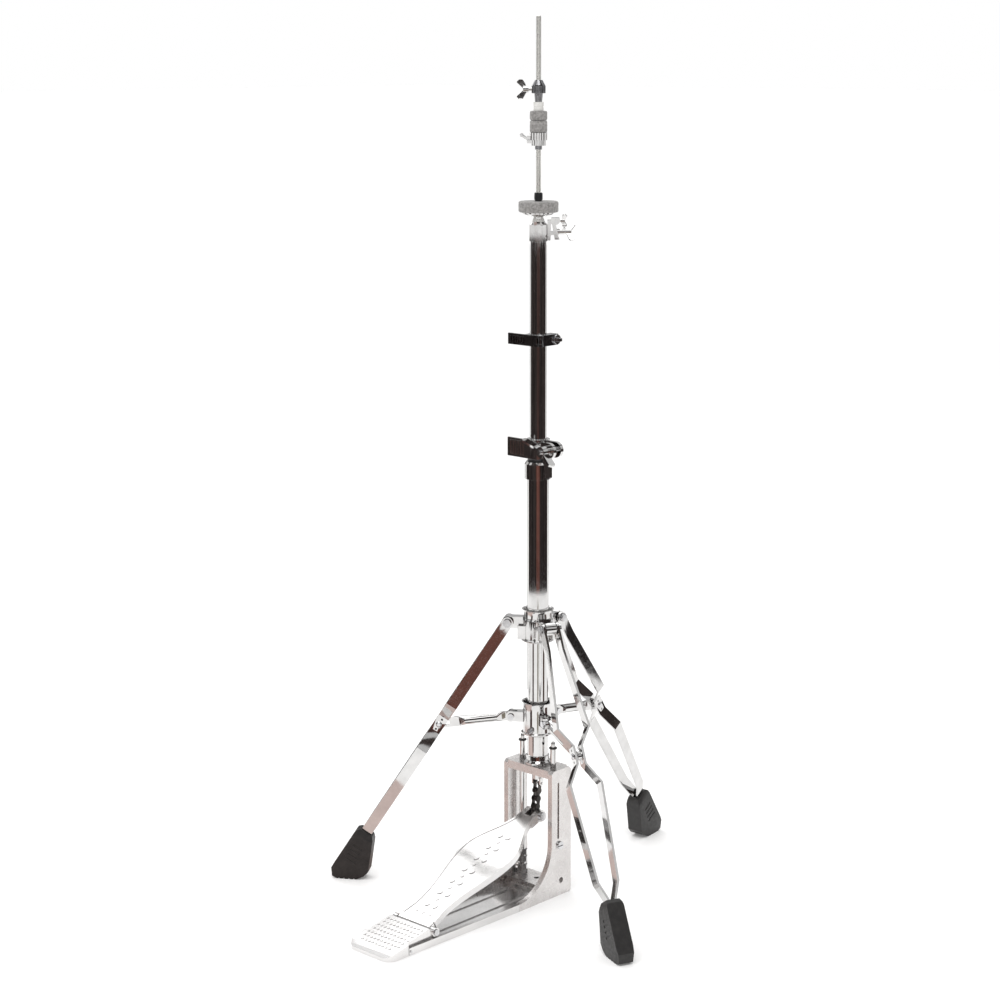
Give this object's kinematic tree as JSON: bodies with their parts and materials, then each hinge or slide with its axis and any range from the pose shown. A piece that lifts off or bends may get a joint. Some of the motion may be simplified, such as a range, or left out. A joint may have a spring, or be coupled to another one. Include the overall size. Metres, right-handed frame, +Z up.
{
  "type": "hi-hat stand",
  "caption": "Three-legged hi-hat cymbal stand with a chain-driven footboard, pull rod, clutch, tilting cymbal seat and telescoping tube.",
  "frame": {"origin": "on the tube axis at the underside of the pedal frame, on the floor", "axes": "+Z up along the tube and pull rod; the footboard points towards -Y; X across the pedal"},
  "size_m": [0.5081, 0.6089, 1.171],
  "materials": {
    "chrome": "polished",
    "steel": "zinc plated",
    "cast": "satin cast",
    "board": "polished cast",
    "rod": "bright drawn",
    "black_steel": "black oxide",
    "dark_metal": "dark nickel",
    "rubber": "matte",
    "black_plastic": "matte",
    "white_plastic": "matte",
    "felt": "pressed felt"
  },
  "bodies": {
    "base": {"pedal_frame": "cast", "cross_plate": "cast", "base_plate": "board", "heel_plate": "board", "heel_pin": "steel", "spring_columns": "chrome", "base_fasteners": "steel", "lower_tube": "chrome", "tube_foot": "chrome", "tube_bush": "black_plastic", "tube_clamp": "chrome"},
    "clamp_nut": {"clamp_wing": "chrome"},
    "left_post": {"post_left": "chrome", "post_ring_left": "rubber"},
    "right_post": {"post_right": "chrome", "post_ring_right": "rubber"},
    "pedal": {"footboard": "board", "toe_bolt": "steel"},
    "rod": {"pull_rod": "rod", "rod_connector": "chrome"},
    "chain": {"chain_outer": "black_steel", "chain_inner": "black_steel"},
    "height_post": {"upper_tube": "chrome", "ferrule": "chrome", "seat_neck": "white_plastic", "seat_sleeve": "black_plastic", "tilt_bracket": "chrome"},
    "tilt_screw": {"tilt_wing": "chrome"},
    "shift_screw": {"shift_wing": "chrome"},
    "seat": {"seat_dish": "chrome", "seat_felt": "felt"},
    "clutch": {"clutch_barrel": "dark_metal", "clutch_nut": "white_plastic", "clutch_felts": "felt", "clutch_bottom": "chrome"},
    "clutch_screw": {"clutch_wing": "chrome"},
    "clutch_catch": {"clutch_lever": "chrome"},
    "lock": {"lock_band": "dark_metal", "lock_pin": "steel"},
    "lock_arm": {"lock_gate": "dark_metal", "lock_key_screw": "steel"},
    "swivel": {"leg_collar": "chrome", "leg_lugs": "chrome", "leg_bolts": "steel"},
    "slider": {"brace_collar": "chrome", "brace_lugs": "chrome", "brace_bush": "black_plastic", "brace_bolts": "steel"},
    "leg_left": {"leg_left": "chrome", "rivets_left": "steel", "foot_left": "rubber"},
    "brace_left": {"brace_left": "chrome"},
    "leg_right": {"leg_right": "chrome", "rivets_right": "steel", "foot_right": "rubber"},
    "brace_right": {"brace_right": "chrome"},
    "leg_rear": {"leg_rear": "chrome", "rivets_rear": "steel", "foot_rear": "rubber"},
    "brace_rear": {"brace_rear": "chrome"}
  },
  "joints": [
    {"name": "footboard_tilt", "type": "hinge", "parent": "base", "child": "pedal", "pos_m": [0, -0.236, 0.016], "axis": [-1, 0, 0], "range_deg": [0, 11], "stiffness_Nm_per_rad": 30, "springref_deg": -8.02},
    {"name": "pull_rod_slide", "type": "slide", "parent": "base", "child": "rod", "axis": [0, 0, -1], "range_m": [0, 0.0453]},
    {"name": "chain_swing", "type": "hinge", "parent": "rod", "child": "chain", "pos_m": [0, 0, 0.15], "axis": [1, 0, 0], "range_deg": [0, 17.8]},
    {"name": "height_adjust", "type": "slide", "parent": "base", "child": "height_post", "axis": [0, 0, 1], "range_m": [-0.11, 0.05]},
    {"name": "memory_lock_slide", "type": "slide", "parent": "height_post", "child": "lock", "axis": [0, 0, 1], "range_m": [-0.01, 0.11]},
    {"name": "memory_lock_open", "type": "hinge", "parent": "lock", "child": "lock_arm", "pos_m": [0.014, -0.011, 0.757], "axis": [0, 0, -1], "range_deg": [0, 80]},
    {"name": "clamp_wing_spin", "type": "hinge", "parent": "base", "child": "clamp_nut", "pos_m": [0.024, -0.012, 0.6135], "axis": [0, -1, 0], "continuous": true},
    {"name": "seat_tilt", "type": "hinge", "parent": "height_post", "child": "seat", "pos_m": [0, 0, 0.918], "axis": [-0.6717, 0.7408, 0], "range_deg": [-4, 4]},
    {"name": "tilt_wing_spin", "type": "hinge", "parent": "height_post", "child": "tilt_screw", "pos_m": [0, 0, 0.912], "axis": [0.7408, 0.6717, 0], "continuous": true},
    {"name": "shift_wing_spin", "type": "hinge", "parent": "height_post", "child": "shift_screw", "pos_m": [0, 0, 0.898], "axis": [0.7408, 0.6717, 0], "continuous": true},
    {"name": "clutch_slide", "type": "slide", "parent": "rod", "child": "clutch", "axis": [0, 0, 1], "range_m": [-0.04, 0.07]},
    {"name": "clutch_wing_spin", "type": "hinge", "parent": "clutch", "child": "clutch_screw", "pos_m": [0, 0, 1.079], "axis": [-0.7408, -0.6717, 0], "continuous": true},
    {"name": "clutch_catch_lift", "type": "hinge", "parent": "clutch", "child": "clutch_catch", "pos_m": [-0.00933, -0.00846, 1.015], "axis": [0.6717, -0.7408, 0], "range_deg": [-40, 20]},
    {"name": "tripod_swivel", "type": "hinge", "parent": "base", "child": "swivel", "pos_m": [0, 0, 0.376], "axis": [0, 0, 1], "range_deg": [-25, 15]},
    {"name": "tripod_fold", "type": "hinge", "parent": "slider", "child": "brace_left", "pos_m": [-0.02949, -0.02065, 0.244], "axis": [0.5736, -0.8192, 0], "range_deg": [0, 57]},
    {"name": "brace_collar_slide", "type": "slide", "parent": "swivel", "child": "slider", "axis": [0, 0, 1], "range_m": [0, 0.0508]},
    {"name": "brace_right_hinge", "type": "hinge", "parent": "slider", "child": "brace_right", "pos_m": [0.03263, -0.01521, 0.244], "axis": [0.4226, 0.9063, 0], "range_deg": [0, 57.1]},
    {"name": "brace_rear_hinge", "type": "hinge", "parent": "slider", "child": "brace_rear", "pos_m": [-0.00314, 0.03586, 0.244], "axis": [-0.9962, -0.0872, 0], "range_deg": [0, 57.1]},
    {"name": "leg_left_hinge", "type": "hinge", "parent": "swivel", "child": "leg_left", "pos_m": [-0.03277, -0.02294, 0.376], "axis": [0.5736, -0.8192, 0], "range_deg": [0, 20.4]},
    {"name": "leg_right_hinge", "type": "hinge", "parent": "swivel", "child": "leg_right", "pos_m": [0.03625, -0.0169, 0.376], "axis": [0.4226, 0.9063, 0], "range_deg": [0, 20.4]},
    {"name": "leg_rear_hinge", "type": "hinge", "parent": "swivel", "child": "leg_rear", "pos_m": [-0.00349, 0.03985, 0.376], "axis": [-0.9962, -0.0872, 0], "range_deg": [0, 20.4]},
    {"name": "left_post_spin", "type": "hinge", "parent": "base", "child": "left_post", "pos_m": [-0.028, 0, 0.179], "axis": [0, 0, 1], "continuous": true},
    {"name": "right_post_spin", "type": "hinge", "parent": "base", "child": "right_post", "pos_m": [0.028, 0, 0.179], "axis": [0, 0, 1], "continuous": true}
  ],
  "couplings": [
    {"joint": "pull_rod_slide", "follows": "footboard_tilt", "m_per_rad": 0.2355},
    {"joint": "chain_swing", "follows": "footboard_tilt", "ratio": 1.61},
    {"joint": "brace_collar_slide", "follows": "tripod_fold", "m_per_rad": 0.051},
    {"joint": "brace_right_hinge", "follows": "tripod_fold", "ratio": 1},
    {"joint": "brace_rear_hinge", "follows": "tripod_fold", "ratio": 1},
    {"joint": "leg_left_hinge", "follows": "tripod_fold", "ratio": 0.3575},
    {"joint": "leg_right_hinge", "follows": "tripod_fold", "ratio": 0.3575},
    {"joint": "leg_rear_hinge", "follows": "tripod_fold", "ratio": 0.3575}
  ]
}
